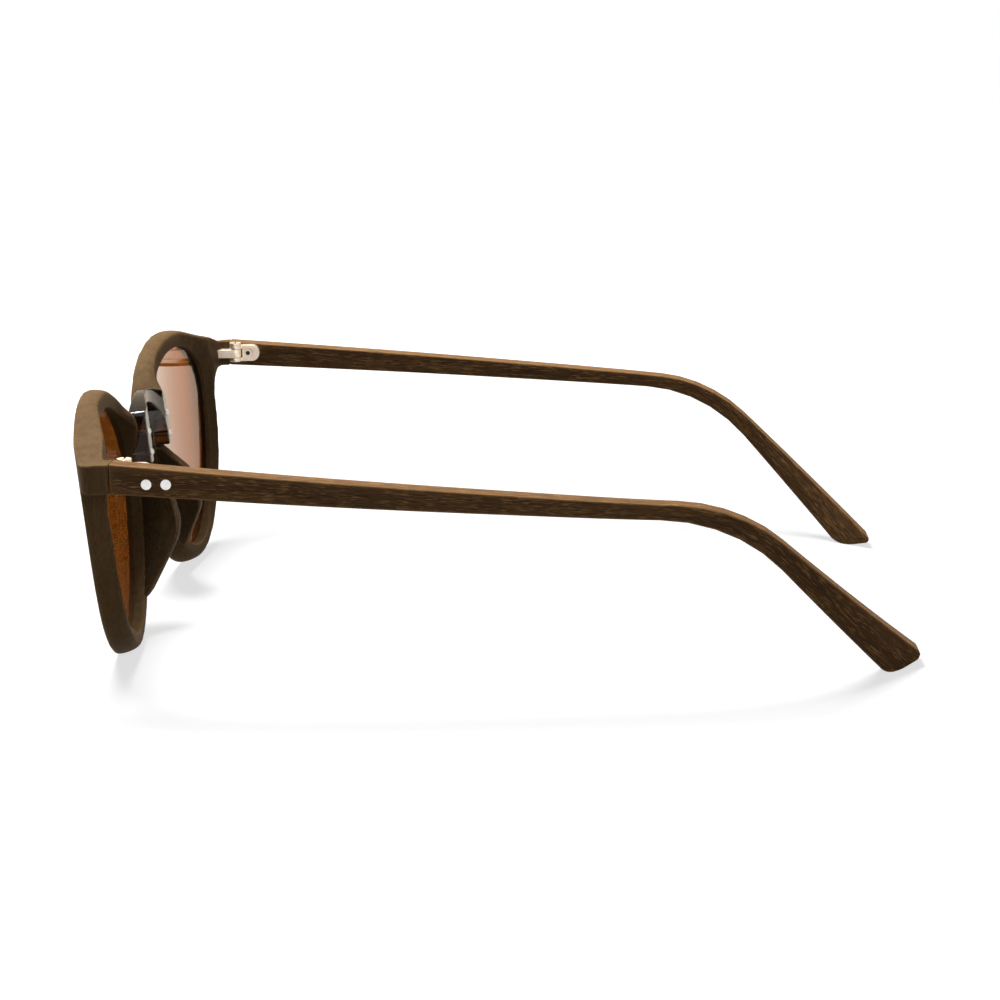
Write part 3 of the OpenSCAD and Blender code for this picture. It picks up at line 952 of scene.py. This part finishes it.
def mark_grain(piece, sign):
    """Marks where each point of a temple lies along, across and up from its middle line."""
    middle = np.array(rounded(TEMPLE_MIDDLE, turn=math.radians(2), closed=False))
    steps = np.diff(middle, axis=0)
    lengths = np.linalg.norm(steps, axis=1)
    stations = []
    starts = np.concatenate([[0], np.cumsum(lengths)])
    for start, step, length, distance in zip(middle, steps, lengths, starts):
        for share in np.arange(0, 1, min(1, STATION_STEP / length)):
            stations.append((*(start + step * share), distance + length * share, *(step / length)))
    stations = np.array(stations)
    points = points_of(piece) / MM
    points[:, 1] -= JOINT_Y
    gaps = points[:, None, 1:] - stations[None, :, :2]
    nearest = np.argmin(np.einsum("ijk,ijk->ij", gaps, gaps), axis=1)
    gap = gaps[np.arange(len(points)), nearest]
    ahead = stations[nearest, 3:5]
    along = stations[nearest, 2] + np.einsum("ij,ij->i", gap, ahead)
    up = gap[:, 1] * ahead[:, 0] - gap[:, 0] * ahead[:, 1]
    line = np.array([temple_line(y)[0] for y in points[:, 1]])
    across = points[:, 0] * sign - line
    places = np.stack([along, across, up + GRAIN_SHIFT * sign], axis=1)
    mark(piece, "grain", "FLOAT_VECTOR", places * MM)


# Lenses: a disc of rings on the opening's outline, curved, then given its thickness

def make_lens(side):
    """A lens, curved both ways, whose edge lies in the rim's groove."""
    sign = SIDES[side]
    bpy.ops.mesh.primitive_circle_add(vertices=OUTLINE_POINTS, radius=1, fill_type="NGON")
    piece = new_piece("curved_lens_" + side)
    edit(piece)
    for ring in range(LENS_RINGS):
        bpy.ops.mesh.inset(thickness=LENS_RING_SHARE, use_even_offset=False)
    bpy.ops.mesh.poke()
    leave()
    for vertex in piece.data.vertices:
        angle = math.atan2(vertex.co.y, vertex.co.x)
        reach = math.hypot(vertex.co.x, vertex.co.y)
        x, up = opening_point(angle, LENS_EDGE) * reach
        x = OPENING_X + x
        vertex.co = on_front(sign * x, lens_depth(x, OPENING_UP + up), OPENING_UP + up)
    edit(piece)
    bpy.ops.mesh.normals_make_consistent(inside=False)
    leave()
    apply_modifier(piece, "SOLIDIFY", thickness=LENS_THICK * MM, offset=0, use_even_offset=True)
    apply_modifier(piece, "BEVEL", width=LENS_ROUND * MM, segments=2, limit_method="ANGLE",
                   angle_limit=math.radians(50))
    pick(piece)
    bpy.ops.object.shade_smooth_by_angle(angle=math.radians(35))
    place(piece, "front", "lens_tint", amber_lens, "lens_" + side)


# The bridge, polished from the CAD shape

def make_bridge():
    """The bridge, with its edges rounded."""
    piece = copy_of("bridge", "polished_bridge")
    reskin(piece, BRIDGE_GRIT)
    sand(piece, BRIDGE_PASSES)
    place(piece, "front", "bridge_acetate", brown_acetate, "bridge")


# Metal pieces stay as they are in CAD, with merged triangles, eased edges and a metal finish

LEAF_EASE = 0.08
SCREW_EASE = 0.05
RIVET_EASE = 0.06


def finish_metal(node, material, ease):
    """Merges a metal piece's triangles, eases its edges and gives it its finish."""
    piece = frame["nodes"][node]
    weld = piece.modifiers.new("merged", "WELD")
    weld.merge_threshold = MERGE_GAP * MM
    eased = piece.modifiers.new("eased_edges", "BEVEL")
    eased.width = ease * MM
    eased.segments = 2
    eased.limit_method = "ANGLE"
    eased.angle_limit = math.radians(40)
    piece.data.materials.clear()
    piece.data.materials.append(material)


for side in SIDES:
    make_rim(side)
    make_pad(side)
    make_temple(side)
    make_lens(side)
    finish_metal("front_hinge_leaf_" + side, hinge_steel, LEAF_EASE)
    finish_metal("temple_hinge_leaf_" + side, hinge_steel, LEAF_EASE)
    finish_metal("hinge_screw_" + side, hinge_steel, SCREW_EASE)
    finish_metal("leaf_screw_" + side, shaded_screw_steel, SCREW_EASE)
    finish_metal("temple_rivets_" + side, rivet_steel, RIVET_EASE)
make_bridge()
finish_metal("bridge_pins", rivet_steel, RIVET_EASE)


# Pale floor, soft light and the camera, with lengths in metres

# How bright mirrors see the room's near and far side, the far side's tone, and where the sides meet
NEAR_ROOM = 1.0
FAR_ROOM = 0.85
WHITE = (1, 1, 1, 1)
WARM_WHITE = (1, 0.85, 0.64, 1)
FAR_SIDE = -0.05
NEAR_SIDE = 0.15

# The floor: its grey where it lights the object and where it is seen, and its glow, which grows outwards
FLOOR_SIZE = 6
FLOOR_UNSEEN = (0.06, 0.06, 0.06, 1)
FLOOR_SEEN = (0.44, 0.44, 0.44, 1)
GLOW_FROM = 0.12
GLOW_TO = 0.4
GLOW_NEAR = 0.7
GLOW_FAR = 1.0

# The weak light from all round, and the point that the lamps face
ROOM_LIGHT = 0.04
LAMP_AIM = Vector((0, -0.06, 0.03))

# The camera, at the photograph's viewing angle
CAMERA_SPOT = (0.4854, 0.02013, 0.1193)
AZIMUTH = math.radians(92.47)
ELEVATION = math.radians(11.62)
ROLL = math.radians(-0.90)
FOCAL_LENGTH = 95.26
SENSOR_WIDTH = 36
NEAREST_VIEW = 0.01


def seen_rays(tree, near):
    """1 where seen straight or through glass, the room's level in mirrors, and 0 as light on the object."""
    path = add_node(tree, "ShaderNodeLightPath")
    straight = maths(tree, "MAXIMUM", path.outputs["Is Camera Ray"], path.outputs["Is Transmission Ray"])
    level = plus(tree, times(tree, near, NEAR_ROOM - FAR_ROOM), FAR_ROOM)
    mirrored = times(tree, path.outputs["Is Glossy Ray"], level)
    seen = maths(tree, "MAXIMUM", straight, mirrored)
    not_scattered = maths(tree, "LESS_THAN", path.outputs["Diffuse Depth"], 0.5)
    return times(tree, seen, not_scattered)


def near_side(tree, way):
    """1 on the near side of the room, +X, and 0 on the far side."""
    split = add_node(tree, "ShaderNodeSeparateXYZ")
    feed(tree, way, split.inputs[0])
    return between(tree, split.outputs["X"], low=FAR_SIDE, high=NEAR_SIDE)


def room_colour(tree, near):
    """White, but mirrors see the far side of the room in a warm tone."""
    path = add_node(tree, "ShaderNodeLightPath")
    mirrored = minus(tree, path.outputs["Is Glossy Ray"], path.outputs["Is Transmission Ray"])
    mirrored = maths(tree, "MAXIMUM", mirrored, 0.0)
    far = times(tree, mirrored, minus(tree, 1.0, near))
    return blend_colour(tree, far, WHITE, WARM_WHITE)


def make_floor():
    """A pale floor that takes the object's shadow and turns to plain white away from it."""
    bpy.ops.mesh.primitive_plane_add(size=FLOOR_SIZE, location=(0, 0, 0))
    floor = new_piece("floor")
    material, tree, shader = new_material("pale_floor")
    place_in = add_node(tree, "ShaderNodeTexCoord").outputs["Object"]
    near = near_side(tree, place_in)
    seen = seen_rays(tree, near)
    feed(tree, blend_colour(tree, seen, FLOOR_UNSEEN, FLOOR_SEEN), shader.inputs["Base Color"])
    shader.inputs["Roughness"].default_value = 0.9
    shader.inputs["Specular IOR Level"].default_value = 0
    length = add_node(tree, "ShaderNodeVectorMath", operation="LENGTH")
    feed(tree, place_in, length.inputs[0])
    away = length.outputs["Value"]
    white = between(tree, away, low=GLOW_FROM, high=GLOW_TO, to_low=GLOW_NEAR, to_high=GLOW_FAR)
    light = add_node(tree, "ShaderNodeEmission")
    feed(tree, room_colour(tree, near), light.inputs["Color"])
    feed(tree, times(tree, seen, white), light.inputs["Strength"])
    both = add_node(tree, "ShaderNodeAddShader")
    feed(tree, shader.outputs[0], both.inputs[0])
    feed(tree, light.outputs[0], both.inputs[1])
    feed(tree, both.outputs[0], tree.nodes["Material Output"].inputs["Surface"])
    floor.data.materials.append(material)


def make_softbox(name, spot, size, watts):
    """A square soft lamp that faces the glasses."""
    lamp = bpy.data.lights.new(name, "AREA")
    lamp.shape = "SQUARE"
    lamp.size = size
    lamp.energy = watts
    softbox = bpy.data.objects.new(name, lamp)
    softbox.location = spot
    aim = LAMP_AIM - Vector(spot)
    softbox.rotation_euler = aim.to_track_quat("-Z", "Y").to_euler()
    bpy.context.scene.collection.objects.link(softbox)


def make_light():
    """A white room that lights the object weakly, and two soft lamps."""
    world = bpy.data.worlds.new("white_room")
    bpy.context.scene.world = world
    world.use_nodes = True
    tree = world.node_tree
    soft = tree.nodes["Background"]
    direction = add_node(tree, "ShaderNodeTexCoord").outputs["Generated"]
    near = near_side(tree, direction)
    feed(tree, room_colour(tree, near), soft.inputs["Color"])
    feed(tree, maths(tree, "MAXIMUM", seen_rays(tree, near), ROOM_LIGHT), soft.inputs["Strength"])
    make_softbox("overhead_softbox", spot=(-0.15, -0.18, 0.62), size=0.26, watts=5.0)
    make_softbox("side_softbox", spot=(0.75, 0.06, 0.16), size=0.4, watts=0.72)


def make_camera():
    """A camera that looks from an azimuth and elevation, turned a little about its own line of sight."""
    back = Vector((
        math.sin(AZIMUTH) * math.cos(ELEVATION),
        -math.cos(AZIMUTH) * math.cos(ELEVATION),
        math.sin(ELEVATION),
    ))
    right = (-back).cross(Vector((0, 0, 1))).normalized()
    up = right.cross(-back)
    turned_right = right * math.cos(ROLL) + up * math.sin(ROLL)
    turned_up = up * math.cos(ROLL) - right * math.sin(ROLL)
    lens = bpy.data.cameras.new("camera")
    lens.sensor_width = SENSOR_WIDTH
    lens.lens = FOCAL_LENGTH
    lens.clip_start = NEAREST_VIEW
    camera = bpy.data.objects.new("camera", lens)
    turn = Matrix((turned_right, turned_up, back)).transposed().to_4x4()
    camera.matrix_world = Matrix.Translation(CAMERA_SPOT) @ turn
    bpy.context.scene.collection.objects.link(camera)
    bpy.context.scene.camera = camera


make_floor()
make_light()
make_camera()
bpy.context.scene.view_settings.view_transform = "Standard"
